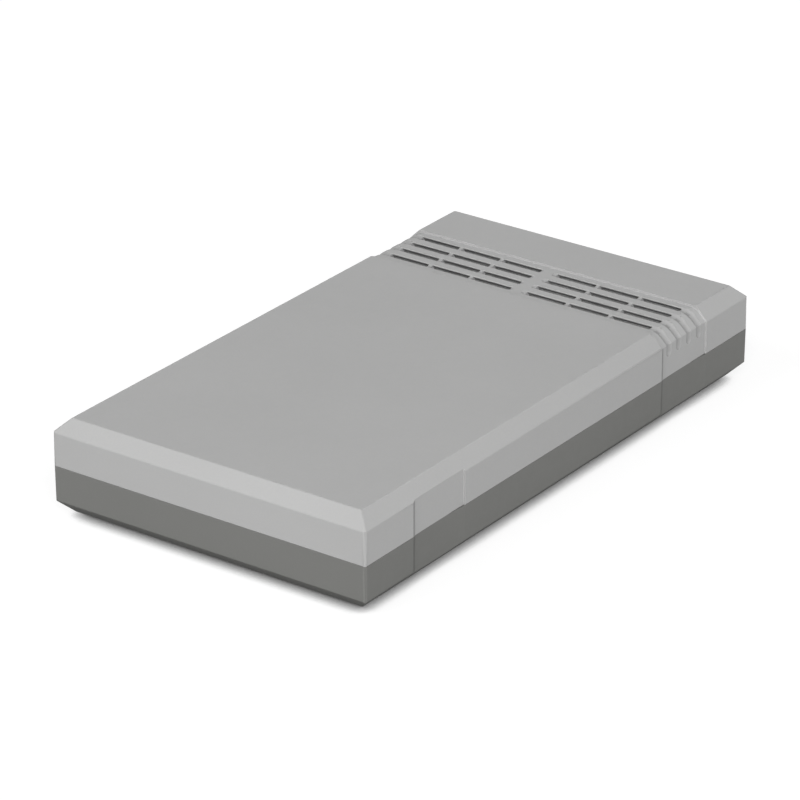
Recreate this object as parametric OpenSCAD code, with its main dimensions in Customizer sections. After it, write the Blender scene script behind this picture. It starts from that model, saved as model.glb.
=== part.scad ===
// Desktop enclosure: two moulded half shells that meet at a lipped split line and are
// screwed together from below. A recessed band with slotted grooves crosses the rear of the
// upper shell, plain recessed bands mark both sides near the front and the rear, and four
// rubber feet sit in shallow pockets under the lower shell.
// X runs across the width, Y from the front to the rear, Z up from the desk.

/* [Case] */
// Width across the side walls at the split
case_w = 120; // [100:1:180]
// Depth from the front wall to the rear wall at the split
case_d = 215; // [180:1:320]
// Height of the lower shell, from its underside to the split
lower_h = 16.4; // [14:0.1:40]
// Height of the upper shell, from the split to its top
upper_h = 15.9; // [13:0.1:40]
// Wall thickness of both shells
wall = 2.5; // [2.3:0.1:3]
// Width of the 45 degree bevel round the top and round the underside
bevel = 4.4; // [3:0.1:6]
// Draft angle of the upright walls
draft = 0.4; // [0.1:0.1:1.5]
// Radius of the upright corners and of the hips between two bevels
corner_r = 1.2; // [0.5:0.1:2]
// Radius along the long edges of the bevels
edge_r = 1; // [0.3:0.1:2]
// Edge break of both rims at the split line
rim_break = 0.15; // [0.1:0.05:0.4]

/* [Closing lip] */
// Height of the lip that stands up from the lower shell
lip_h = 1.8; // [1:0.1:3]
// Thickness of the lip
lip_t = 0.8; // [0.6:0.1:1]
// Step from the inside of the lower wall to the lip
lip_step = 0.2; // [0.1:0.05:0.3]
// Clearance round the lip
lip_gap = 0.12; // [0.05:0.01:0.3]

/* [Bands] */
// Front-to-rear width of a recessed band
band_w = 27.2; // [25:0.1:34]
// Distance from the front of the case to the front bands
front_inset = 24.5; // [20:0.1:32]
// Distance from the rear of the case to the rear bands
rear_inset = 25.4; // [20:0.1:32]
// Depth of the bands
band_depth = 0.6; // [0.3:0.05:0.7]
// Length of the short slope at the front edge of a band
ramp_l = 1.5; // [0.8:0.1:2]
// Length of the slow run-out from that slope to the floor of a band
runout_l = 8; // [5:0.1:10]
// Run of the steep step at the rear edge of a band on the upper shell
step_run = 0.1; // [0.1:0.05:0.6]
// Run of the slope that ends a band on the lower shell
fade_run = 9; // [6:0.1:12]
// Radius of the bend of the grille from the top into the bevel
bend_r = 5; // [4:0.5:6]

/* [Grille] */
// How far the middle of the grille lies behind the middle of its band
grille_shift = 0.4; // [0:0.1:1]
// Front-to-rear pitch of the grooves
groove_pitch = 6; // [5.6:0.1:9]
// Width of a groove at the floor of the band
groove_w = 2.8; // [2.6:0.1:3.6]
// Depth of a groove below the floor of the band
groove_depth = 0.45; // [0.2:0.05:0.5]
// How far the grooves run down the side walls below the bevel
groove_drop = 4.2; // [2.5:0.1:6]
// How far a groove runs past its first slot towards the centre
groove_lead = 1.3; // [0.8:0.1:2]
// Length of a slot
slot_l = 15.5; // [8:0.1:18]
// Width of a slot at its face
slot_w = 2.4; // [1.4:0.1:2.5]
// Straight depth of a slot under its edge in the groove
slot_land = 0.15; // [0.1:0.05:0.3]
// How much a slot widens on each side towards the inside
slot_flare = 1.2; // [0.6:0.1:1.4]
// Plastic left between two slots of a row
slot_bridge = 1.2; // [1:0.1:4]
// Plain width between the two groups of slots
slot_centre = 6.2; // [5:0.1:12]
// Smallest distance from the last slot to the bevel
slot_margin = 3; // [1:0.1:6]

/* [Screws] */
// Distance from the side of the case to a screw
screw_inset_x = 10.5; // [9.5:0.1:14]
// Distance from the end of the case to a screw
screw_inset_y = 11.5; // [10:0.1:15]
// Thread diameter of a screw
screw_d = 3; // [2.5:0.1:3.5]
// Length of a screw under its head
screw_l = 12; // [9:0.5:14]
// Diameter of a screw head
head_d = 5.6; // [4.6:0.1:6.2]
// Height of a screw head
head_h = 2.2; // [1.6:0.1:2.6]
// Depth of the cross recess in a screw head
drive_depth = 1.3; // [0.6:0.1:1.4]
// Width of an arm of the cross recess
drive_w = 0.8; // [0.5:0.1:1]

/* [Pillars] */
// Diameter of a screw pillar under the top
pillar_d = 7; // [6:0.1:8]
// How far the pillars reach below the split
pillar_drop = 4; // [2:0.1:5]
// Diameter of the pilot hole in a pillar
pilot_d = 2.5; // [2:0.1:2.8]
// Spare depth of the pilot hole past the screw's tip
pilot_spare = 1.5; // [0.5:0.1:2]
// Thickness of the seat under a screw head
seat_t = 3; // [2:0.1:4]
// Wall of the screw tubes in the lower shell
tube_wall = 1.6; // [1.2:0.1:2]
// Clearance round a screw head in its tube
head_gap = 0.5; // [0.3:0.1:0.8]
// Clearance round a screw thread in its seat
thread_gap = 0.2; // [0.1:0.05:0.3]
// Clearance round the core of a screw in its pilot hole
core_gap = 0.05; // [0.02:0.01:0.1]
// Thickness of the gussets that tie pillars and tubes to the walls
gusset_t = 1.6; // [1:0.1:2]

/* [Board standoffs] */
// Distance across the case between standoffs
standoff_w = 84; // [40:1:96]
// Distance from the front standoffs to the rear ones
standoff_l = 150; // [80:1:156]
// Height of a standoff above the floor
standoff_h = 5; // [3:0.1:7]
// Diameter of a standoff
standoff_d = 6; // [5:0.1:8]
// Diameter of the screw hole in a standoff
standoff_hole = 2.2; // [1.6:0.1:2.8]

/* [Feet] */
// Distance from the side of the case to the middle of a foot
foot_inset_x = 15; // [13:0.1:25]
// Distance from the end of the case to the middle of a foot
foot_inset_y = 29; // [26:0.1:50]
// Diameter of a foot at its base
foot_d = 10; // [8:0.1:12]
// Whole height of a foot
foot_h = 2.3; // [1.8:0.1:3.5]
// Depth of the pocket that holds a foot
foot_pocket = 0.8; // [0.5:0.1:1.2]
// Clearance round a foot in its pocket
foot_gap = 0.2; // [0.1:0.05:0.4]
// Radius of the lower edge of a foot
foot_edge = 0.8; // [0.4:0.1:1]

/* [Hidden] */
$fn = 64;

light_grey = [0.72, 0.72, 0.715];
warm_grey = [0.49, 0.49, 0.475];
zinc = [0.7, 0.71, 0.73];
black_rubber = [0.09, 0.09, 0.09];

// Margin by which cutters pass the faces they cut and joined bodies run into each other
over = 1;
// Extra radius of a rounded corner, so that the round crosses its walls and doesn't just touch them
round_over = 0.02;

half_w = case_w / 2;
half_d = case_d / 2;
lift = foot_h - foot_pocket;
split_z = lift + lower_h;

// The inner bevel that keeps the wall thickness across the 45 degree face
inner_bevel = bevel - (2 - sqrt(2)) * wall;

// Distances from the outside of the walls to the outside of the lip, and to the rebate round it
lip_outset = wall - lip_step - lip_t;
rebate_skin = lip_outset - lip_gap;

// Outward directions of the top, of a bevel and of a drafted side wall in the cross section
up = [0, 1];
slant = [1, 1] / sqrt(2);
flank = [cos(draft), sin(draft)];

front_band_y = front_inset + band_w / 2 - half_d;
rear_band_y = half_d - rear_inset - band_w / 2;
grille_y = rear_band_y + grille_shift;
// Share of a band's depth that the short slope takes, then the first part of the run-out: its length and drop
ramp_share = 0.75;
runout_part = 0.4;
runout_share = 0.6;
// Numbers of steps in which the floor of the grille and its grooves bend from the top into the bevel. They
// differ, so that the mitres of the grooves stay clear of the creases of the floor.
bend_steps = 3;
groove_steps = 4;
// Radius of the bend of the grooves. It is wider than that of the floor, so the grooves are deepest there.
groove_bend = 2 * bevel;
groove_r = (pow(groove_w / 2, 2) + pow(groove_depth, 2)) / (2 * groove_depth);
groove_axis = groove_r - groove_depth;
// Depth of the edge at which a slot cuts the round of its groove
slot_edge = band_depth + sqrt(pow(groove_r, 2) - pow(slot_w / 2, 2)) - groove_axis;
groove_rows = floor((band_w - 2 * band_depth) / groove_pitch);
slot_pitch = slot_l + slot_bridge;
slot_room = shoulder(half_w, upper_h, bevel) - bevel - slot_margin - slot_centre / 2;
slot_count = floor((slot_room + slot_bridge) / slot_pitch);

screw_x = half_w - screw_inset_x;
screw_y = half_d - screw_inset_y;
// Heights in the shells' own frame, measured from the split
seat_z = -pillar_drop - seat_t;
pilot_depth = screw_l - seat_t + pilot_spare;
tube_d = head_d + 2 * (head_gap + tube_wall);
core_d = pilot_d - 2 * core_gap;

foot_x = half_w - foot_inset_x;
foot_y = half_d - foot_inset_y;

// Half size of a drafted wall where its bevel starts, in a shell of height h
function shoulder(half, h, cut) = half - (h - cut) * tan(draft);

// The two ends of the bevel on one side of a shell's cross section
function bevel_points(half, h, cut) = [
  [shoulder(half, h, cut), h - cut],
  [shoulder(half, h, cut) - cut, h]
];

// A cross section made whole by mirroring the points of its right half
function both_sides(points) = concat(
  points,
  [for (i = [len(points) - 1:-1:0]) [-points[i][0], points[i][1]]]
);

function unit(v) = v / norm(v);

// Corner p between faces with the outward directions a and b, after both faces have moved in by depth
function sunk(p, a, b, depth) = p - depth * (a + b) / (1 + a * b);

// Floor of a side band in the cross section: from the bevel down to the split
function side_floor(h) = [
  sunk(bevel_points(half_w, h, bevel)[0], slant, flank, band_depth),
  [half_w - band_depth / cos(draft), 0]
];

// Floor of the grille's bend, from the flat top to the bevel, as steps that touch a round of radius r
function bend_floor(h, r, steps) =
  let (
    corner = sunk(bevel_points(half_w, h, bevel)[1], up, slant, band_depth),
    middle = sunk(corner, up, slant, r),
    turn = 45 / steps
  )
  [
    for (i = [0:steps - 1])
      middle + r / cos(turn / 2) * [sin((i + 0.5) * turn), cos((i + 0.5) * turn)]
  ];

// Floor of the grille on one side: the bend, the bevel, then the side wall
function grille_floor(h, r, steps) = concat(bend_floor(h, r, steps), side_floor(h));

// Outline of a band from its rear edge to its front edge: along Y, and out from the floor. The rear
// edge climbs over a given run, and both edges pass well beyond the outside of the case.
function band_outline(run) =
  let (
    rear = band_w / 2,
    front = -band_w / 2,
    fall = ramp_share * band_depth,
    rest = band_depth - fall,
    lip = 0.2
  )
  [
    [rear + run * over / band_depth, band_depth + over],
    [rear - run, 0],
    [front + ramp_l + runout_l, 0],
    [front + ramp_l + runout_part * runout_l, (1 - runout_share) * rest],
    [front + ramp_l, rest],
    [front - lip * ramp_l, band_depth + lip * fall],
    [front - lip * ramp_l - over, band_depth + lip * fall + over]
  ];

// Corner i of an outline: unit vectors to its neighbours, and half the angle between them
function to_neighbour(points, i, step) = unit(points[(i + step + len(points)) % len(points)] - points[i]);
function half_angle(points, i) = acos(to_neighbour(points, i, -1) * to_neighbour(points, i, 1)) / 2;

// A convex outline with true arcs of radius r at its corners, apart from the sharp ones
module soft_outline(points, r, sharp) {
  last = len(points) - 1;
  polygon([
    for (i = [0:last])
      for (step = sharp[i] ? [0] : [-1, 1])
        points[i] + (sharp[i] ? [0, 0] : to_neighbour(points, i, step) * r / tan(half_angle(points, i)))
  ]);
  for (i = [0:last])
    if (!sharp[i])
      translate(points[i] + unit(to_neighbour(points, i, -1) + to_neighbour(points, i, 1)) * r
        / sin(half_angle(points, i)))
        circle(r);
}

// Cross section of a half shell's outside, from the split at zero up to its flat face
module outer_section(half, h) {
  right = concat(
    [[half - rim_break, 0], [half - rim_break * tan(draft), rim_break]],
    bevel_points(half, h, bevel)
  );
  soft_outline(both_sides(right), edge_r, [true, true, false, false, false, false, true, true]);
}

// Cross section of a half shell's inside, open past the split
module inner_section(half, h) {
  right = concat(
    [[half - wall + over * tan(draft), -over]],
    bevel_points(half - wall, h - wall, inner_bevel)
  );
  polygon(both_sides(right));
}

// A cross section swept right through the case: along Y, or along X
module sweep_y() {
  rotate([90, 0, 0])
    linear_extrude(case_d + 2 * over, center = true)
      children();
}

module sweep_x() {
  rotate([90, 0, 90])
    linear_extrude(case_w + 2 * over, center = true)
      children();
}

// What has to go to round an edge that stands along Z and fills the angle from 0 to turn
module edge_waste(turn, length) {
  reach = 3 * corner_r;
  linear_extrude(length)
    difference() {
      polygon([[0, 0], [reach, 0], reach * [1, tan(turn / 2)], reach * [cos(turn), sin(turn)]]);
      circle(corner_r + round_over);
    }
}

// Rounds the drafted upright corner at positive X and Y, and the hip above it
module corner_waste(h) {
  lean = atan(sqrt(2) * tan(draft));
  translate([half_w - corner_r, half_d - corner_r, 0])
    rotate(a = lean, v = [1, -1, 0])
      translate([0, 0, -over])
        edge_waste(90, h + 2 * over);
  // Two 45 degree bevels turn by 60 degrees over their hip, which is as long as a cube's diagonal
  hip_turn = 60;
  hip_tilt = atan(sqrt(2));
  hip_l = sqrt(3) * bevel;
  translate([shoulder(half_w, h, bevel), shoulder(half_d, h, bevel), h - bevel])
    rotate(a = hip_tilt, v = [1, -1, 0])
      rotate(45)
        translate([-corner_r / cos(hip_turn / 2), 0, -over])
          rotate(-hip_turn / 2)
            edge_waste(hip_turn, hip_l + 2 * over);
}

module all_corners() {
  for (x = [0, 1])
    for (y = [0, 1])
      mirror([x, 0, 0])
        mirror([0, y, 0])
          children();
}

// The outside of a half shell, standing on the split with its flat face up
module outer_form(h) {
  difference() {
    intersection() {
      sweep_y() outer_section(half_w, h);
      sweep_x() outer_section(half_d, h);
    }
    all_corners() corner_waste(h);
  }
}

// The room inside a half shell
module inner_form(h) {
  intersection() {
    sweep_y() inner_section(half_w, h);
    sweep_x() inner_section(half_d, h);
  }
}

// Places a cutter on a face of the cross section: X from p to q, Z out of the face
module on_face(p, q) {
  translate([p[0], 0, p[1]])
    rotate([0, -atan2(q[1] - p[1], q[0] - p[0]), 0])
      children();
}

module both_flanks() {
  for (x = [0, 1])
    mirror([x, 0, 0])
      children();
}

// A recessed band in the face from p to q, run past both ends of the face
module band_cut(y, p, q, run) {
  on_face(p, q)
    translate([-over, y, 0])
      rotate([90, 0, 90])
        linear_extrude(norm(q - p) + 2 * over)
          polygon(band_outline(run));
}

// The plain bands on both side walls, near the front and near the rear
module side_bands(h, run) {
  ends = side_floor(h);
  both_flanks()
    for (y = [front_band_y, rear_band_y])
      band_cut(y, ends[0], ends[1], run);
}

// The rear band carried on over the bevels and across the top
module top_band(h) {
  floor_points = grille_floor(h, bend_r, bend_steps);
  first = floor_points[0];
  band_cut(rear_band_y, [-first[0], first[1]], first, step_run);
  both_flanks()
    for (i = [0:bend_steps - 1])
      band_cut(rear_band_y, floor_points[i], floor_points[i + 1], step_run);
}

// A round-nosed channel cutter along X whose nose ends where the groove's outline ends
module groove_cut(length) {
  translate([groove_w / 2, 0, groove_axis])
    rotate([0, 90, 0])
      rotate_extrude() {
        intersection() {
          circle(groove_r);
          translate([0, -groove_r])
            square(groove_r);
        }
        square([groove_r, length]);
      }
}

// One groove from the centre of the top, over the bend and the bevel and a little way down the side wall
module groove(h) {
  floor_points = grille_floor(h, groove_bend, groove_steps);
  start = slot_centre / 2 - groove_lead;
  on_face([start, floor_points[0][1]], floor_points[0])
    groove_cut(half_w);
  for (i = [0:groove_steps - 1])
    on_face(floor_points[i], floor_points[i + 1])
      translate([-over, 0, groove_axis])
        rotate([0, 90, 0])
          cylinder(r = groove_r, h = norm(floor_points[i + 1] - floor_points[i]) + 2 * over);
  on_face(floor_points[groove_steps], floor_points[groove_steps + 1])
    translate([groove_drop, 0, 0])
      mirror([1, 0, 0])
        groove_cut(groove_drop + bevel);
}

// The slots of one row on one side, right through the top and wider towards the inside
module slot_row(h) {
  face = slot_w / 2;
  land = -slot_edge - slot_land;
  half_slot = [
    [face, over],
    [face, land],
    [face + slot_flare, land - slot_flare],
    [face + slot_flare, -wall - over]
  ];
  for (i = [0:slot_count - 1])
    translate([slot_centre / 2 + i * slot_pitch, 0, h])
      rotate([90, 0, 90])
        linear_extrude(slot_l)
          polygon(both_sides(half_slot));
}

module grille(h) {
  both_flanks()
    for (row = [0:groove_rows - 1])
      translate([0, grille_y + (row - (groove_rows - 1) / 2) * groove_pitch, 0]) {
        groove(h);
        slot_row(h);
      }
}

// Gussets from a pillar at a screw to the nearest side wall and end wall
module gussets(low, high) {
  translate([screw_x, screw_y - gusset_t / 2, low])
    cube([screw_inset_x - wall / 2, gusset_t, high - low]);
  translate([screw_x - gusset_t / 2, screw_y, low])
    cube([gusset_t, screw_inset_y - wall / 2, high - low]);
}

// Pillars that hang from the top to below the split, with gussets that stay clear of the lip
module pillars() {
  all_corners()
    translate([screw_x, screw_y, -pillar_drop])
      cylinder(d = pillar_d, h = pillar_drop + upper_h - wall / 2);
  intersection() {
    all_corners()
      gussets(lip_h + 2 * lip_gap, upper_h - wall / 2);
    outer_form(upper_h);
  }
}

// The rebate inside the upper wall that takes the lip of the lower shell
module lip_rebate() {
  translate([0, 0, -over])
    linear_extrude(lip_h + lip_gap + over)
      square([case_w - 2 * rebate_skin, case_d - 2 * rebate_skin], center = true);
}

module upper_shell() {
  color(light_grey)
    translate([0, 0, split_z])
      difference() {
        union() {
          difference() {
            outer_form(upper_h);
            inner_form(upper_h);
            side_bands(upper_h, step_run);
            top_band(upper_h);
            grille(upper_h);
            lip_rebate();
          }
          pillars();
        }
        all_corners()
          translate([screw_x, screw_y, -pillar_drop - over])
            cylinder(d = pilot_d, h = pilot_depth + over);
      }
}

// The lip stands near the inner edge of the lower wall and runs down into it
module lip() {
  inset = lip_outset + lip_t;
  translate([0, 0, -over])
    linear_extrude(lip_h + over)
      difference() {
        square([case_w - 2 * lip_outset, case_d - 2 * lip_outset], center = true);
        square([case_w - 2 * inset, case_d - 2 * inset], center = true);
      }
}

// Tubes that rise from the floor to meet the pillars, with gussets a step lower
module screw_tubes() {
  all_corners()
    translate([screw_x, screw_y, wall / 2 - lower_h])
      cylinder(d = tube_d, h = lower_h - pillar_drop - wall / 2);
  intersection() {
    all_corners()
      gussets(wall / 2 - lower_h, -pillar_drop - gusset_t);
    mirror([0, 0, 1])
      outer_form(lower_h);
  }
}

module screw_holes() {
  all_corners()
    translate([screw_x, screw_y, 0]) {
      translate([0, 0, -lower_h - over])
        cylinder(d = head_d + 2 * head_gap, h = lower_h + seat_z + over);
      translate([0, 0, seat_z - over])
        cylinder(d = screw_d + 2 * thread_gap, h = seat_t + 2 * over);
    }
}

module standoffs() {
  for (x = [-1, 1])
    for (y = [-1, 1])
      translate([x * standoff_w / 2, y * standoff_l / 2, wall - lower_h])
        difference() {
          translate([0, 0, -wall / 2])
            cylinder(d = standoff_d, h = standoff_h + wall / 2);
          cylinder(d = standoff_hole, h = standoff_h + over);
        }
}

module foot_pockets() {
  all_corners()
    translate([foot_x, foot_y, -lower_h - over])
      cylinder(d = foot_d + 2 * foot_gap, h = foot_pocket + over);
}

module lower_shell() {
  color(warm_grey)
    translate([0, 0, split_z])
      difference() {
        union() {
          difference() {
            mirror([0, 0, 1])
              difference() {
                outer_form(lower_h);
                inner_form(lower_h);
                side_bands(lower_h, fade_run);
              }
            foot_pockets();
          }
          lip();
          screw_tubes();
          standoffs();
        }
        screw_holes();
      }
}

// Pan head with a cross recess. The shank has its full diameter in the seat and its core
// diameter in the pilot hole, where the thread cuts its own way, and it ends in a cone.
module case_screw() {
  head_edge = head_h / 3;
  tip_l = core_d / 2;
  difference() {
    rotate_extrude()
      polygon([
        [0, -head_h],
        [head_d / 2 - head_edge, -head_h],
        [head_d / 2, head_edge - head_h],
        [head_d / 2, 0],
        [screw_d / 2, 0],
        [screw_d / 2, seat_t - thread_gap],
        [core_d / 2, seat_t - thread_gap],
        [core_d / 2, screw_l - tip_l],
        [core_d / 8, screw_l],
        [0, screw_l]
      ]);
    for (turn = [0, 90])
      rotate(turn)
        translate([0, 0, drive_depth / 2 - head_h - over / 2])
          cube([head_d / 2, drive_w, drive_depth + over], center = true);
  }
}

module case_screws() {
  color(zinc)
    for (x = [-1, 1])
      for (y = [-1, 1])
        translate([x * screw_x, y * screw_y, split_z + seat_z])
          case_screw();
}

// A round rubber foot, drawn with its rest face on the desk
module foot(x, y) {
  color(black_rubber)
    translate([x * foot_x, y * foot_y, 0])
      rotate_extrude() {
        translate([0, foot_edge])
          square([foot_d / 2, foot_h - foot_edge]);
        square([foot_d / 2 - foot_edge, foot_h]);
        translate([foot_d / 2 - foot_edge, foot_edge])
          circle(foot_edge);
      }
}

module foot_front_left() {
  foot(-1, -1);
}

module foot_front_right() {
  foot(1, -1);
}

module foot_rear_left() {
  foot(-1, 1);
}

module foot_rear_right() {
  foot(1, 1);
}

upper_shell();
lower_shell();
case_screws();
foot_front_left();
foot_front_right();
foot_rear_left();
foot_rear_right();
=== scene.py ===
"""Looks of the desktop enclosure: two moulded half shells, case screws and rubber feet.

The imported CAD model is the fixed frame. Each class below dresses one sub-assembly of it, and the
studio holds the floor, the lights and the camera.
"""

import logging
import math
from dataclasses import dataclass, field
from enum import Enum
from typing import Iterable, Sequence

import bmesh
import bpy
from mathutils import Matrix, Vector


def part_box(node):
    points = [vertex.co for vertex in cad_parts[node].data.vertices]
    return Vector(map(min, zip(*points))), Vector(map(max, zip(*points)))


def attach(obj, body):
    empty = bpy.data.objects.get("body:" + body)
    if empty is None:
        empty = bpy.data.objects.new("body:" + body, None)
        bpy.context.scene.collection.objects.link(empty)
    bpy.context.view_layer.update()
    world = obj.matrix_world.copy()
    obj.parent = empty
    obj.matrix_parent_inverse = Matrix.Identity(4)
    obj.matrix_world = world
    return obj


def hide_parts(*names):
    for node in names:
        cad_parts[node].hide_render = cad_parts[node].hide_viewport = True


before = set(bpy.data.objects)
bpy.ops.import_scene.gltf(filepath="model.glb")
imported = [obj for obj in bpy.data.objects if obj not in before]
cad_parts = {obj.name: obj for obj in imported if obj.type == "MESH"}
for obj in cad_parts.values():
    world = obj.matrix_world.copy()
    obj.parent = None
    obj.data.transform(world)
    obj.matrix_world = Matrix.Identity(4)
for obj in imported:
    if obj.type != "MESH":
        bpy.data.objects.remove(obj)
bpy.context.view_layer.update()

LOG = logging.getLogger("desktop_enclosure")
MM = 0.001
ROOT = "root"
RUB = "edge_rub"
# Face mark for shade painted into the plastic's colour: the inside behind the slots, the grooves, the band
# slopes and the step behind the grille.
PAINTED_SHADE = "nook_grime"
SCREWS = "case_screws"
SCREW_HEAD_D = 5.6 * MM
SPLIT_Z = 17.9 * MM
WELD = 0.002 * MM
FLAT_DEGREES = 0.2
NOISE_MIDDLE = (0.3, 0.7)

Colour = tuple[float, float, float]


class Slot(Enum):
    """The material slots."""

    LIGHT_ABS = "light_grey_abs"
    WARM_ABS = "warm_grey_abs"
    ZINC = "zinc_steel"
    RUBBER = "black_rubber"


class Half(Enum):
    """Which half of the case a shell is, by the side that its flat face looks to."""

    UPPER = 1
    LOWER = -1


class Graph:
    """A material's or world's node tree while it is being put together."""

    def __init__(self, tree: bpy.types.NodeTree) -> None:
        """Starts from an emptied tree.

        Args:
            tree: The node tree to fill.
        """
        self.tree = tree
        tree.nodes.clear()

    def add(self, kind: str, settings: dict | None = None, **sockets: object) -> bpy.types.Node:
        """Adds one node.

        Args:
            kind: The node's type, without the ShaderNode in front.
            settings: Properties of the node itself.
            **sockets: Values or output sockets for its inputs. Spaces in a name are written as _,
                and in2 means the input at index 2.

        Returns:
            The new node.
        """
        node = self.tree.nodes.new("ShaderNode" + kind)
        for name, value in (settings or {}).items():
            setattr(node, name, value)
        for name, value in sockets.items():
            numbered = name.startswith("in") and name[2:].isdigit()
            socket = node.inputs[int(name[2:])] if numbered else node.inputs[name.replace("_", " ")]
            if isinstance(value, bpy.types.NodeSocket):
                self.tree.links.new(value, socket)
            else:
                socket.default_value = value
        return node

    def math(self, operation: str, a: object, b: object = 0.0) -> bpy.types.NodeSocket:
        """Returns the result of a maths node on a and b."""
        return self.add("Math", {"operation": operation}, in0=a, in1=b).outputs[0]

    def spread(self, value: bpy.types.NodeSocket, low: float, high: float) -> bpy.types.NodeSocket:
        """Maps the middle of a noise onto a range.

        Args:
            value: A noise's output, which mostly lies within NOISE_MIDDLE.
            low: What the low end of that becomes.
            high: What its high end becomes.

        Returns:
            The mapped value.
        """
        least, most = NOISE_MIDDLE
        return self.add("MapRange", in0=value, in1=least, in2=most, in3=low, in4=high).outputs["Result"]

    def noise(self, where: bpy.types.NodeSocket, size: float, detail: float = 2.0) -> bpy.types.NodeSocket:
        """Adds a noise whose blotches are about a given size.

        Args:
            where: Coordinates in metres.
            size: Size of a blotch in metres.
            detail: How many finer layers lie on it.

        Returns:
            The noise's value.
        """
        return self.add("TexNoise", Vector=where, Scale=1 / size, Detail=detail).outputs["Fac"]

    def patchy(
        self, mark: str, where: bpy.types.NodeSocket, size: float, least: float
    ) -> bpy.types.NodeSocket:
        """Breaks a mark on the faces up into patches.

        Args:
            mark: Name of the faces' mark.
            where: Coordinates in metres.
            size: Size of a patch in metres.
            least: How much of the mark stays in the faintest patches.

        Returns:
            The patchy mark, from 0 to 1.
        """
        marked = self.add("Attribute", {"attribute_name": mark}).outputs["Fac"]
        return self.math("MULTIPLY", marked, self.spread(self.noise(where, size), least, 1.0))

    def blend(self, share: object, a: object, b: object, mode: str = "MIX") -> bpy.types.NodeSocket:
        """Mixes two colours.

        Args:
            share: How much of b.
            a: First colour or its socket.
            b: Second colour or its socket.
            mode: Blend mode.

        Returns:
            The mixed colour.
        """
        node = self.add("Mix", {"data_type": "RGBA", "blend_type": mode}, in0=share, in6=a, in7=b)
        return node.outputs[2]


def shade(colour: Colour, factor: float) -> tuple[float, float, float, float]:
    """Returns a colour times a factor, with full alpha."""
    return (*(channel * factor for channel in colour), 1.0)


@dataclass(frozen=True)
class Finish:
    """What every finish has: a name, a material slot and a colour."""

    name: str
    slot: Slot
    colour: Colour

    def material(self) -> bpy.types.Material:
        """Makes the finish's material on first use.

        Returns:
            The material.
        """
        known = bpy.data.materials.get(self.name)
        if known:
            return known
        made = bpy.data.materials.new(self.name)
        made.use_nodes = True
        made.diffuse_color = shade(self.colour, 1.0)
        graph = Graph(made.node_tree)
        where = graph.add("TexCoord").outputs["Object"]
        shader = self.shader(graph, where)
        graph.add("OutputMaterial", Surface=shader.outputs["BSDF"])
        return made

    def shader(self, graph: Graph, where: bpy.types.NodeSocket) -> bpy.types.Node:
        """Builds the finish's shader node.

        Args:
            graph: The material's tree.
            where: Coordinates in metres, fixed to the piece.

        Returns:
            The shader node.
        """
        raise NotImplementedError


@dataclass(frozen=True)
class MouldedPlastic(Finish):
    """Matt moulded ABS: fine spark-eroded grain, faint flow clouds, rubbed edges and painted shade on the
    faces that a shell marks.
    """

    roughness: tuple[float, float] = (0.5, 0.6)
    matt_patch: float = 3.2 * MM
    sheen: float = 0.12
    grain: float = 0.16 * MM
    grain_height: float = 0.006 * MM
    grain_strength: float = 0.6
    cloud: float = 38 * MM
    cloud_share: float = 0.012
    fleck: float = 0.64 * MM
    fleck_share: float = 0.012
    rub_patch: float = 2.5 * MM
    rub_least: float = 0.15
    rub_lift: float = 1.04
    rub_polish: float = 0.08
    # Painted shade: how patchy it is and how much darker the marked faces are painted.
    painted_shade_patch: float = 1.5 * MM
    painted_shade_least: float = 0.85
    painted_shade_share: float = 0.8

    def clean(self, graph: Graph, where: bpy.types.NodeSocket) -> bpy.types.NodeSocket:
        """Mixes the plastic's own colour with its flow clouds and flecks.

        Args:
            graph: The material's tree.
            where: Coordinates in metres, fixed to the piece.

        Returns:
            The colour.
        """
        dull, bright = (shade(self.colour, 1 + sign * self.cloud_share) for sign in (-1, 1))
        cloud = graph.noise(where, self.cloud, 1.0)
        clouded = graph.blend(graph.spread(cloud, 0.0, 1.0), dull, bright)
        fleck = graph.noise(where, self.fleck)
        flecks = graph.spread(fleck, 1 - self.fleck_share, 1 + self.fleck_share)
        grey = graph.add("CombineColor", in0=flecks, in1=flecks, in2=flecks).outputs[0]
        return graph.blend(1.0, clouded, grey, "MULTIPLY")

    def shader(self, graph: Graph, where: bpy.types.NodeSocket) -> bpy.types.Node:
        """Builds the plastic.

        Args:
            graph: The material's tree.
            where: Coordinates in metres, fixed to the piece.

        Returns:
            The shader node.
        """
        rubbed = graph.patchy(RUB, where, self.rub_patch, self.rub_least)
        # Painted shade: marked faces are painted darker in place of the shade that falls there.
        grime = graph.patchy(PAINTED_SHADE, where, self.painted_shade_patch, self.painted_shade_least)
        shaded_colour = graph.blend(grime, self.clean(graph, where), shade(self.colour, 1 - self.painted_shade_share))
        colour = graph.blend(rubbed, shaded_colour, shade(self.colour, self.rub_lift))
        matt = graph.spread(graph.noise(where, self.matt_patch, 3.0), *self.roughness)
        matt = graph.math("SUBTRACT", matt, graph.math("MULTIPLY", rubbed, self.rub_polish))
        grain = graph.noise(where, self.grain, 3.0)
        bump = graph.add("Bump", Strength=self.grain_strength, Distance=self.grain_height, Height=grain)
        return graph.add(
            "BsdfPrincipled",
            Base_Color=colour,
            Roughness=matt,
            Normal=bump.outputs["Normal"],
            Specular_IOR_Level=self.sheen,
        )


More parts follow.
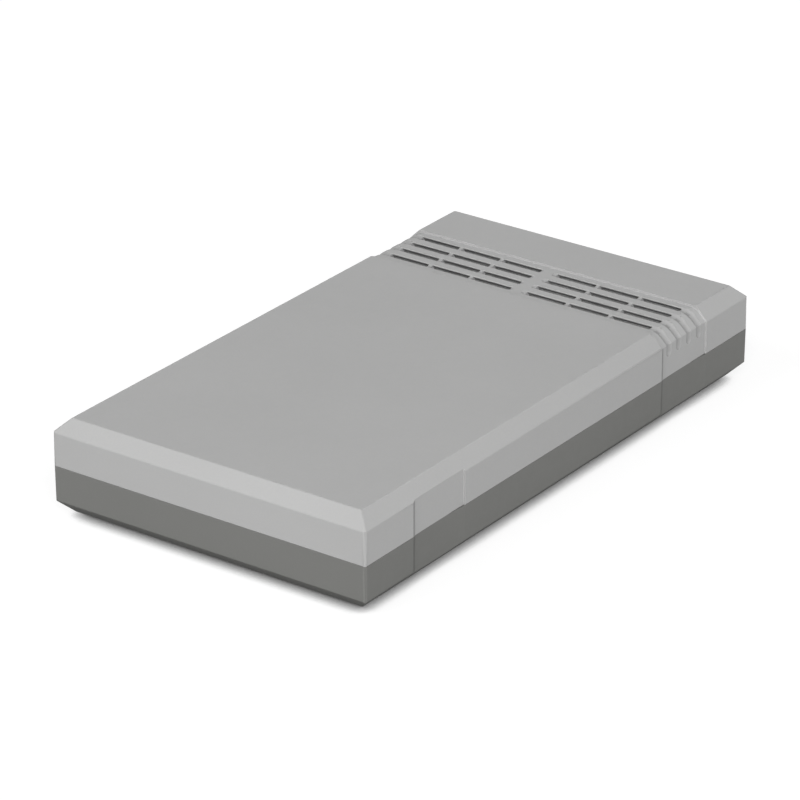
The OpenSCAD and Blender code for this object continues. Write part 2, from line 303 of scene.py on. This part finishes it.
@dataclass(frozen=True)
class ZincPlate(Finish):
    """Bright zinc plate on steel, with faint mottling and rubbed scratches."""

    roughness: tuple[float, float] = (0.24, 0.42)
    mottle: float = 0.5 * MM
    mottle_tones: tuple[float, float] = (0.86, 1.05)
    scratch: float = 0.7 * MM
    scratch_stretch: tuple[float, float, float] = (1.0, 9.0, 1.0)
    scratch_depth: float = 0.01 * MM
    scratch_strength: float = 0.35

    def shader(self, graph: Graph, where: bpy.types.NodeSocket) -> bpy.types.Node:
        """Builds the plate.

        Args:
            graph: The material's tree.
            where: Coordinates in metres, fixed to the piece.

        Returns:
            The shader node.
        """
        dark, bright = (shade(self.colour, tone) for tone in self.mottle_tones)
        mottle = graph.noise(where, self.mottle, 4.0)
        colour = graph.blend(graph.spread(mottle, 0.0, 1.0), dark, bright)
        along = graph.add("Mapping", Vector=where, Scale=self.scratch_stretch).outputs[0]
        scratch = graph.noise(along, self.scratch)
        dull = graph.spread(scratch, *self.roughness)
        bump = graph.add("Bump", Strength=self.scratch_strength, Distance=self.scratch_depth, Height=scratch)
        return graph.add(
            "BsdfPrincipled", Base_Color=colour, Metallic=1.0, Roughness=dull, Normal=bump.outputs["Normal"]
        )


@dataclass(frozen=True)
class MattRubber(Finish):
    """Black moulded rubber with a pebbled skin and a little bloom."""

    roughness: tuple[float, float] = (0.72, 0.88)
    sheen: float = 0.3
    pebble: float = 0.3 * MM
    pebble_height: float = 0.03 * MM
    pebble_strength: float = 0.5
    bloom: float = 3 * MM
    bloom_tones: tuple[float, float] = (0.8, 1.5)

    def shader(self, graph: Graph, where: bpy.types.NodeSocket) -> bpy.types.Node:
        """Builds the rubber.

        Args:
            graph: The material's tree.
            where: Coordinates in metres, fixed to the piece.

        Returns:
            The shader node.
        """
        dark, bright = (shade(self.colour, tone) for tone in self.bloom_tones)
        bloom = graph.noise(where, self.bloom, 3.0)
        colour = graph.blend(graph.spread(bloom, 0.0, 1.0), dark, bright)
        pebbles = graph.noise(where, self.pebble)
        bump = graph.add("Bump", Strength=self.pebble_strength, Distance=self.pebble_height, Height=pebbles)
        return graph.add(
            "BsdfPrincipled",
            Base_Color=colour,
            Roughness=graph.spread(bloom, *self.roughness),
            Normal=bump.outputs["Normal"],
            Specular_IOR_Level=self.sheen,
        )


LIGHT_ABS = MouldedPlastic("light_grey_moulding", Slot.LIGHT_ABS, (0.443, 0.443, 0.441))
WARM_ABS = MouldedPlastic("warm_grey_moulding", Slot.WARM_ABS, (0.188, 0.189, 0.181))
ZINC = ZincPlate("zinc_plate", Slot.ZINC, (0.72, 0.73, 0.75))
RUBBER = MattRubber("matt_rubber", Slot.RUBBER, (0.02, 0.02, 0.02))


Face = bmesh.types.BMFace


@dataclass(frozen=True)
class Shading:
    """How the light runs over a piece's edges.

    Narrow rounds take their normals from the wide faces beside them.
    """

    sharp_from: float = 40.0
    wide: float = 0.5 * MM

    def is_wide(self, face: Face) -> bool:
        """Returns whether a face is more than a strip of a round or an edge break."""
        return 2 * face.calc_area() > self.wide * face.calc_perimeter()

    def fans(self, vertex: bmesh.types.BMVert, wide: dict[Face, bool]) -> dict[Face, set[Face]]:
        """Groups the faces round a point.

        Args:
            vertex: The point.
            wide: For each face of the mesh, whether it is wide.

        Returns:
            For each face at the point, the faces that give it its normal there: the wide or narrow faces
            that it runs into over smooth edges, and for a narrow face the wide ones next to it, if any.
        """
        fan = {face: {face} for face in vertex.link_faces}
        joints = [edge.link_faces for edge in vertex.link_edges if edge.smooth and len(edge.link_faces) == 2]
        for first, second in joints:
            if wide[first] == wide[second]:
                joined = fan[first] | fan[second]
                fan.update(dict.fromkeys(joined, joined))
        beside: dict[Face, set[Face]] = {}
        for first, second in joints:
            if wide[first] != wide[second]:
                strip, broad = (second, first) if wide[first] else (first, second)
                beside[strip] = beside.get(strip, set()) | fan[broad]
        givers = dict(fan)
        for strip, broad in beside.items():
            for face in fan[strip]:
                givers[face] = broad if givers[face] is fan[face] else givers[face] | broad
        return givers

    def normals(self, bm: bmesh.types.BMesh, creases: set[bmesh.types.BMEdge]) -> list[Vector]:
        """Marks the sharp edges of a mesh and works out the normal at each corner of its faces.

        Args:
            bm: The mesh.
            creases: Edges to keep sharp at any angle.

        Returns:
            The corners' normals, in the order of the faces and their corners.
        """
        limit = math.radians(self.sharp_from)
        for edge in bm.edges:
            edge.smooth = edge.calc_face_angle(0.0) < limit and edge not in creases
        weighed: dict[Face, Vector] = {}
        wide: dict[Face, bool] = {}
        for face in bm.faces:
            face.smooth = True
            weighed[face] = face.normal * face.calc_area()
            wide[face] = self.is_wide(face)
        corners = {}
        for vertex in bm.verts:
            for face, givers in self.fans(vertex, wide).items():
                total = sum((weighed[giver] for giver in givers), Vector())
                corners[face, vertex] = total.normalized() if total.length > 0 else face.normal
        return [corners[face, vertex] for face in bm.faces for vertex in face.verts]


def new_piece(
    name: str,
    bm: bmesh.types.BMesh,
    finish: Finish,
    stands_for: str,
    shading: Shading = Shading(),
    creases: Iterable[bmesh.types.BMEdge] = (),
) -> bpy.types.Object:
    """Turns a finished mesh into a piece that rides on the case and stands for a CAD node.

    Args:
        name: The piece's name.
        bm: Its mesh in the row frame, freed here.
        finish: Its finish.
        stands_for: The CAD node that it is shown in place of.
        shading: How its normals run over its edges.
        creases: Edges that stay sharp at any angle.

    Returns:
        The piece.
    """
    bm.normal_update()
    normals = shading.normals(bm, set(creases))
    mesh = bpy.data.meshes.new(name)
    bm.to_mesh(mesh)
    bm.free()
    mesh.normals_split_custom_set(normals)
    piece = bpy.data.objects.new(name, mesh)
    bpy.context.scene.collection.objects.link(piece)
    mesh.materials.append(finish.material())
    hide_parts(stands_for)
    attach(piece, ROOT)
    LOG.info("%s: %d faces, in %s", name, len(mesh.polygons), finish.name)
    return piece


def bare_copy(mesh: bpy.types.Mesh) -> bmesh.types.BMesh:
    """Copies a mesh's points and faces without its normals and marks.

    Args:
        mesh: The mesh to copy.

    Returns:
        The copy, welded and with its flat faces whole.
    """
    bm = bmesh.new()
    points = [bm.verts.new(vertex.co) for vertex in mesh.vertices]
    for polygon in mesh.polygons:
        bm.faces.new([points[i] for i in polygon.vertices])
    bmesh.ops.remove_doubles(bm, verts=bm.verts[:], dist=WELD)
    bmesh.ops.dissolve_limit(
        bm,
        angle_limit=math.radians(FLAT_DEGREES),
        use_dissolve_boundaries=False,
        verts=bm.verts[:],
        edges=bm.edges[:],
    )
    return bm


def break_edges(
    bm: bmesh.types.BMesh, edges: list[bmesh.types.BMEdge], width: float, segments: int
) -> list[bmesh.types.BMFace]:
    """Rounds edges off.

    Args:
        bm: The mesh.
        edges: Its edges to round.
        width: How far the round reaches from the edge.
        segments: Faces across the round.

    Returns:
        The faces of the rounds.
    """
    made = bmesh.ops.bevel(
        bm,
        geom=edges,
        offset=width,
        offset_type="OFFSET",
        segments=segments,
        profile=0.5,
        affect="EDGES",
        clamp_overlap=False,
        loop_slide=True,
        miter_outer="SHARP",
        miter_inner="SHARP",
    )
    return made["faces"]


def screw_axes() -> list[tuple[float, float]]:
    """Reads where the screws stand off the frame.

    Returns:
        X and Y of each screw's upright axis.
    """
    low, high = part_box(SCREWS)
    reach = SCREW_HEAD_D / 2
    return [(x, y) for x in (low.x + reach, high.x - reach) for y in (low.y + reach, high.y - reach)]


SCREW_AXES = screw_axes()


def from_axis(point: Vector) -> float:
    """Returns how far a point lies from the axis of the nearest screw."""
    return min(math.hypot(point.x - x, point.y - y) for x, y in SCREW_AXES)


@dataclass
class HalfShell:
    """One moulded half of the case, with its outside edges broken as a mould leaves them."""

    half: Half
    node: str
    finish: MouldedPlastic
    bevel: float = 4.4 * MM
    skin: float = 1.6 * MM
    rim: float = 0.4 * MM
    edge_break: float = 0.09 * MM
    edge_segments: int = 2
    break_from: float = 24.0
    band_from: float = 1.0
    shallow: float = 0.12 * MM
    nook: float = 0.3 * MM
    well_r: float = 3.6 * MM
    # Painted shade: how much darker the inside behind the slots, the front slopes of the side bands, the
    # grooves and the step behind the grille are painted.
    inside_painted_shade: float = 0.45
    slope_painted_shade: float = 0.43
    groove_painted_shade: float = 0.22
    step_painted_shade: float = 0.18
    step_facing: float = 0.9
    slope_facing: tuple[float, float] = (0.15, 0.5)
    wall_facing: float = 0.8
    shading: Shading = Shading(sharp_from=48.0)

    def __post_init__(self) -> None:
        """Reads the shell's box off the frame."""
        low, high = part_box(self.node)
        self.half_w = high.x
        self.half_d = high.y
        self.face_z = high.z if self.half is Half.UPPER else low.z

    def depth(self, point: Vector) -> float:
        """Measures how deep a point lies in the shell.

        Args:
            point: A point of the shell.

        Returns:
            Its distance from the nearest outside face.
        """
        across = self.half_w - abs(point.x)
        along = self.half_d - abs(point.y)
        down = self.half.value * (self.face_z - point.z)
        slant = (min(across, along) + down - self.bevel) / math.sqrt(2)
        return min(across, along, down, slant)

    def breaks(self, edge: bmesh.types.BMEdge) -> bool:
        """Tells whether a mould leaves an edge broken.

        Args:
            edge: An edge of the shell.

        Returns:
            True for an edge that is outside, sharp and off the split between the halves.
        """
        middle = (edge.verts[0].co + edge.verts[1].co) / 2
        angle = math.degrees(edge.calc_face_angle(0.0))
        off_split = abs(middle.z - SPLIT_Z) > self.rim
        return angle > self.break_from and off_split and self.depth(middle) < self.skin

    def starts_band(self, edge: bmesh.types.BMEdge) -> bool:
        """Tells whether a wide face starts to dip into a band at an edge.

        Args:
            edge: An edge of the shell.

        Returns:
            True for such an edge, which lies across the case.
        """
        first, second = (end.co for end in edge.verts)
        across = abs(first.y - second.y) < WELD
        wide = all(self.shading.is_wide(face) for face in edge.link_faces)
        angle = math.degrees(edge.calc_face_angle(0.0))
        return across and wide and angle > self.band_from and self.depth((first + second) / 2) < self.shallow

    def grime(self, face: Face) -> float:
        """Returns how much shade is painted into a face's colour.

        Args:
            face: A face of the shell.

        Returns:
            The most for the inside behind the slots, painted dark as shade; less for the front slope of a
            band on a side, a groove or the step behind the grille, painted darker as shade; and 0 elsewhere.
        """
        middle = face.calc_center_median()
        deep = self.depth(middle)
        # The inside is painted dark as shade, except in the screw wells.
        if deep > self.skin:
            return self.inside_painted_shade if from_axis(middle) > self.well_r else 0.0
        if deep < self.shallow:
            return 0.0
        if not self.shading.is_wide(face):
            return self.groove_painted_shade if deep > self.nook else 0.0
        if abs(face.normal.y) > self.step_facing and abs(face.normal.z) > abs(face.normal.x):
            return self.step_painted_shade
        on_slope = self.slope_facing[0] < face.normal.y < self.slope_facing[1]
        return self.slope_painted_shade if on_slope and abs(face.normal.x) > self.wall_facing else 0.0

    def build(self) -> bpy.types.Object:
        """Makes the shell from the CAD form.

        Returns:
            The shell.
        """
        bm = bare_copy(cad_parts[self.node].data)
        rub = bm.faces.layers.float.new(RUB)
        shade_layer = bm.faces.layers.float.new(PAINTED_SHADE)
        for face in bm.faces:
            # Each face gets its painted shade.
            face[shade_layer] = self.grime(face)
        edges = [edge for edge in bm.edges if self.breaks(edge)]
        for face in break_edges(bm, edges, self.edge_break, self.edge_segments):
            face[rub] = 1.0
        bm.normal_update()
        creases = [edge for edge in bm.edges if self.starts_band(edge)]
        return new_piece(self.node + "_moulding", bm, self.finish, self.node, self.shading, creases)


def lathe(bm: bmesh.types.BMesh, profile: Sequence[tuple[float, float]], turns: int, at: Vector) -> None:
    """Turns a profile about an upright axis. Points at no radius close it.

    Args:
        bm: The mesh to add to.
        profile: Radius and height of each point, from one end on the axis to the other.
        turns: Segments round the axis.
        at: Where the axis stands, and its zero height.
    """
    rings: list[list[bmesh.types.BMVert]] = []
    for radius, height in profile:
        count = turns if radius > 0 else 1
        rings.append([
            bm.verts.new(at + Vector((radius * math.cos(angle), radius * math.sin(angle), height)))
            for angle in (2 * math.pi * i / turns for i in range(count))
        ])
    for lower, upper in zip(rings, rings[1:]):
        for i in range(turns):
            j = (i + 1) % turns
            low_pair = [lower[k % len(lower)] for k in (i, j)]
            high_pair = [upper[k % len(upper)] for k in (j, i)]
            bm.faces.new(list(dict.fromkeys(low_pair + high_pair)))


@dataclass
class ScrewSet:
    """Four pan head screws for plastic with a cross recess, driven up from below."""

    finish: ZincPlate = ZINC
    head_h: float = 2.2 * MM
    length: float = 12 * MM
    thread_d: float = 2.96 * MM
    core_d: float = 2.2 * MM
    pitch: float = 1.34 * MM
    ridge: float = 0.22
    neck: float = 0.7 * MM
    root: float = 0.3 * MM
    tip: float = 1.6 * MM
    tip_share: float = 0.12
    recess_r: float = 1.6 * MM
    recess_break: float = 0.07 * MM
    recess_segments: int = 2
    rim_round: float = 0.28 * MM
    rim_segments: int = 4
    break_from: float = 30.0
    turns: int = 48
    rows: int = 108

    def __post_init__(self) -> None:
        """Reads where the screws stand off the frame."""
        self.seat_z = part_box(SCREWS)[0].z + self.head_h
        self.places = [Vector((x, y, self.seat_z)) for x, y in SCREW_AXES]

    def heads(self) -> bmesh.types.BMesh:
        """Makes the four heads from the CAD form, with rounded rims and a broken edge round each recess.

        Returns:
            The heads, closed at their seats.
        """
        bm = bare_copy(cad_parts[SCREWS].data)
        shanks = [vertex for vertex in bm.verts if vertex.co.z > self.seat_z + WELD]
        bmesh.ops.delete(bm, geom=shanks, context="VERTS")
        bmesh.ops.holes_fill(bm, edges=[edge for edge in bm.edges if edge.is_boundary], sides=0)
        bmesh.ops.recalc_face_normals(bm, faces=bm.faces[:])
        limit = math.radians(self.break_from)
        sharp = [edge for edge in bm.edges if edge.is_convex and edge.calc_face_angle(0.0) > limit]
        inner = [edge for edge in sharp if all(from_axis(end.co) < self.recess_r for end in edge.verts)]
        rims = [edge for edge in sharp if edge not in inner]
        break_edges(bm, rims, self.rim_round, self.rim_segments)
        inner = [edge for edge in inner if edge.is_valid]
        break_edges(bm, inner, self.recess_break, self.recess_segments)
        return bm

    def shank_radius(self, height: float, angle: float) -> float:
        """Returns the radius of the threaded shank.

        Args:
            height: Height over the seat.
            angle: Angle round the axis in radians.

        Returns:
            The radius in metres.
        """
        phase = (height / self.pitch - angle / (2 * math.pi)) % 1.0
        ridge = max(0.0, 1 - abs(phase - 0.5) / self.ridge)
        start = min(1.0, max(0.0, (height - self.neck) / self.pitch))
        left = (self.length - height) / self.tip
        end = min(1.0, max(self.tip_share, left))
        crest = (self.thread_d - self.core_d) / 2 * ridge * start * min(1.0, max(0.0, left))
        return self.core_d / 2 * end + crest

    def add_shank(self, bm: bmesh.types.BMesh, at: Vector) -> None:
        """Adds one threaded shank.

        Args:
            bm: The mesh to add to.
            at: The middle of the screw's seat.
        """
        angles = [2 * math.pi * i / self.turns for i in range(self.turns)]
        grid = []
        for row in range(self.rows + 1):
            height = (self.length + self.root) * row / self.rows - self.root
            radii = [self.shank_radius(height, angle) for angle in angles]
            grid.append([
                bm.verts.new(at + Vector((radius * math.cos(angle), radius * math.sin(angle), height)))
                for radius, angle in zip(radii, angles)
            ])
        for lower, upper in zip(grid, grid[1:]):
            for i in range(self.turns):
                j = (i + 1) % self.turns
                bm.faces.new([lower[i], lower[j], upper[j], upper[i]])
        bm.faces.new(grid[-1])
        bm.faces.new(grid[0][::-1])

    def build(self) -> bpy.types.Object:
        """Makes the four screws as one piece.

        Returns:
            The screws.
        """
        bm = self.heads()
        for place in self.places:
            self.add_shank(bm, place)
        bmesh.ops.recalc_face_normals(bm, faces=bm.faces[:])
        return new_piece("case_screws_zinc", bm, self.finish, SCREWS)


@dataclass
class FootSet:
    """Four round rubber feet that stand in pockets under the lower shell."""

    finish: MattRubber = RUBBER
    names: tuple[str, ...] = ("foot_front_left", "foot_front_right", "foot_rear_left", "foot_rear_right")
    edge: float = 0.8 * MM
    edge_steps: int = 8
    crown: float = 0.15 * MM
    inner_ring: float = 0.55
    turns: int = 96

    def profile(self, radius: float, height: float) -> list[tuple[float, float]]:
        """Draws a foot's profile from the middle of its rest face to the middle of its top.

        Args:
            radius: Radius of the foot.
            height: Its whole height.

        Returns:
            Radius and height of each point.
        """
        flat = radius - self.edge
        rest = [(0.0, 0.0), (self.inner_ring * flat, 0.0), (flat, 0.0)]
        bends = [math.pi / 2 * i / self.edge_steps for i in range(1, self.edge_steps + 1)]
        round_edge = [(flat + self.edge * math.sin(t), self.edge - self.edge * math.cos(t)) for t in bends]
        top = [(radius, height - self.crown), (radius - self.crown, height), (0.0, height)]
        return rest + round_edge + top

    def build(self) -> list[bpy.types.Object]:
        """Makes the feet.

        Returns:
            The four feet.
        """
        feet = []
        for name in self.names:
            low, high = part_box(name)
            middle = (low + high) / 2
            profile = self.profile((high.x - low.x) / 2, high.z - low.z)
            bm = bmesh.new()
            lathe(bm, profile, self.turns, Vector((middle.x, middle.y, low.z)))
            bmesh.ops.recalc_face_normals(bm, faces=bm.faces[:])
            feet.append(new_piece(name + "_rubber", bm, self.finish, name))
        return feet


def from_angles(azimuth: float, elevation: float) -> Vector:
    """Returns the unit vector to a viewer at an azimuth from the front and an elevation, in degrees."""
    a, e = math.radians(azimuth), math.radians(elevation)
    return Vector((math.sin(a) * math.cos(e), -math.cos(a) * math.cos(e), math.sin(e)))


@dataclass(frozen=True)
class Softbox:
    """A soft rectangular studio light that looks at the case."""

    name: str
    azimuth: float
    elevation: float
    distance: float
    size: tuple[float, float]
    level: float

    def build(self, aim: Vector) -> bpy.types.Object:
        """Hangs the light.

        Args:
            aim: What it looks at.

        Returns:
            The light.
        """
        data = bpy.data.lights.new(self.name, "AREA")
        data.shape = "RECTANGLE"
        data.size, data.size_y = self.size
        # A white surface that faces the lamp shows this level of brightness
        data.energy = self.level * math.pi**2 * self.distance**2
        lamp = bpy.data.objects.new(self.name, data)
        bpy.context.scene.collection.objects.link(lamp)
        back = from_angles(self.azimuth, self.elevation)
        lamp.location = aim + back * self.distance
        lamp.rotation_mode = "QUATERNION"
        lamp.rotation_quaternion = (-back).to_track_quat("-Z", "Y")
        return lamp


@dataclass(frozen=True)
class CameraSpot:
    """Where the camera stands, and its lens."""

    azimuth: float = 35.57
    elevation: float = 24.82
    distance: float = 1.4266
    focal_pixels: float = 4440.0
    offset: tuple[float, float] = (11.74, -4.83)
    frame_pixels: int = 800
    sensor: float = 36.0
    clip: tuple[float, float] = (0.05, 50.0)

    def build(self, aim: Vector) -> bpy.types.Object:
        """Sets up the camera and makes it the scene's.

        Args:
            aim: What it looks at.

        Returns:
            The camera.
        """
        data = bpy.data.cameras.new("camera")
        data.sensor_width = self.sensor
        data.lens = self.focal_pixels / self.frame_pixels * self.sensor
        data.shift_x = -self.offset[0] / self.frame_pixels
        data.shift_y = self.offset[1] / self.frame_pixels
        data.clip_start, data.clip_end = self.clip
        camera = bpy.data.objects.new("camera", data)
        bpy.context.scene.collection.objects.link(camera)
        back = from_angles(self.azimuth, self.elevation)
        camera.location = aim + back * self.distance
        camera.rotation_mode = "QUATERNION"
        camera.rotation_quaternion = (-back).to_track_quat("-Z", "Y")
        bpy.context.scene.camera = camera
        return camera


@dataclass
class Studio:
    """A plain pale floor, soft lights, an even sky and the camera."""

    aim: Vector = field(default_factory=lambda: Vector((0.0, 0.0, 17.63 * MM)))
    floor_size: float = 12.0
    floor_cells: int = 8
    bounce: float = 0.35
    glow: float = 0.83
    paper: float = 0.25
    contact_shadow: float = 2.4 * MM
    underside_shadow: float = 14 * MM
    underside_shadow_power: float = 4.0
    under_edge: tuple[float, float] = (0.1, 0.4)
    shade_samples: int = 8
    sky: float = 0.23
    lights: tuple[Softbox, ...] = (
        Softbox("key_softbox", 40.0, 40.0, 5.0, (2.5, 2.5), 0.57),
        Softbox("left_softbox", -25.0, 36.0, 5.0, (2.5, 2.5), 0.355),
        Softbox("right_softbox", 60.0, 15.0, 5.0, (2.7, 1.8), 0.335),
    )
    camera: CameraSpot = CameraSpot()

    def seen(self, graph: Graph) -> bpy.types.NodeSocket:
        """Tells the rays that show the background from those that gather light.

        Args:
            graph: The floor's or the sky's tree.

        Returns:
            1 for a ray that shows the background and 0 for another.
        """
        path = graph.add("LightPath")
        sharp = graph.math("MAXIMUM", path.outputs["Is Glossy Ray"], path.outputs["Is Transmission Ray"])
        return graph.math("MAXIMUM", path.outputs["Is Camera Ray"], sharp)

    def floor(self) -> bpy.types.Object:
        """Lays the floor.

        Returns:
            The floor.
        """
        bm = bmesh.new()
        cells = self.floor_cells
        bmesh.ops.create_grid(bm, x_segments=cells, y_segments=cells, size=self.floor_size / 2)
        mesh = bpy.data.meshes.new("studio_floor")
        bm.to_mesh(mesh)
        bm.free()
        mesh.materials.append(self.paper_material())
        floor = bpy.data.objects.new("studio_floor", mesh)
        bpy.context.scene.collection.objects.link(floor)
        return floor

    def in_the_open(self, graph: Graph) -> bpy.types.NodeSocket:
        """Works out the shadow painted into the paper's glow: it dims near the case for the camera, and more
        under the case for reflections.

        Args:
            graph: The paper's tree.

        Returns:
            1 in the open, falling to 0 under the case.
        """
        settings = {"samples": self.shade_samples}
        near, far = (
            graph.add("AmbientOcclusion", settings, Distance=reach).outputs["AO"]
            for reach in (self.contact_shadow, self.underside_shadow)
        )
        covered, uncovered = self.under_edge
        outside = graph.add("MapRange", in0=far, in1=covered, in2=uncovered).outputs["Result"]
        direct = graph.math("MINIMUM", near, outside)
        mirrored = graph.math("POWER", far, self.underside_shadow_power)
        share = graph.add("LightPath").outputs["Is Camera Ray"]
        return graph.add("Mix", in0=share, in2=mirrored, in3=direct).outputs[0]

    def paper_material(self) -> bpy.types.Material:
        """Makes the floor's paper, white where it is seen, with a painted shadow near and under the case,
        and plain where it gathers light.

        Returns:
            The material.
        """
        made = bpy.data.materials.new("studio_paper")
        made.use_nodes = True
        graph = Graph(made.node_tree)
        # Painted shadow: the glow is dimmed by ambient occlusion round and under the case.
        strength = graph.math("MULTIPLY", self.in_the_open(graph), self.glow)
        glow = graph.add("Emission", Color=(1, 1, 1, 1), Strength=strength)
        pale = graph.add("BsdfDiffuse", Color=(self.paper, self.paper, self.paper, 1))
        shown = graph.add("AddShader", in0=glow.outputs[0], in1=pale.outputs[0])
        lit = graph.add("BsdfDiffuse", Color=(self.bounce, self.bounce, self.bounce, 1))
        mixed = graph.add("MixShader", in0=self.seen(graph), in1=lit.outputs[0], in2=shown.outputs[0])
        graph.add("OutputMaterial", Surface=mixed.outputs[0])
        return made

    def surround(self) -> bpy.types.World:
        """Sets the even light that comes from all round, white where it is seen.

        Returns:
            The world.
        """
        world = bpy.data.worlds.new("studio_sky")
        world.use_nodes = True
        graph = Graph(world.node_tree)
        white = graph.add("Background", Color=(1, 1, 1, 1), Strength=1.0)
        dim = graph.add("Background", Color=(1, 1, 1, 1), Strength=self.sky)
        mixed = graph.add("MixShader", in0=self.seen(graph), in1=dim.outputs[0], in2=white.outputs[0])
        graph.add("OutputWorld", Surface=mixed.outputs[0])
        bpy.context.scene.world = world
        return world

    def build(self) -> None:
        """Sets up the whole studio."""
        self.floor()
        self.surround()
        for light in self.lights:
            light.build(self.aim)
        self.camera.build(self.aim)
        bpy.context.scene.view_settings.view_transform = "Standard"
        LOG.info("studio: %d softboxes", len(self.lights))


def main() -> None:
    """Builds every sub-assembly and the studio, in order."""
    logging.basicConfig(level=logging.INFO, format="%(name)s: %(message)s")
    HalfShell(Half.UPPER, "upper_shell", LIGHT_ABS).build()
    HalfShell(Half.LOWER, "lower_shell", WARM_ABS, slope_painted_shade=0.3).build()
    ScrewSet().build()
    FootSet().build()
    Studio().build()


if __name__ == "__main__":
    main()
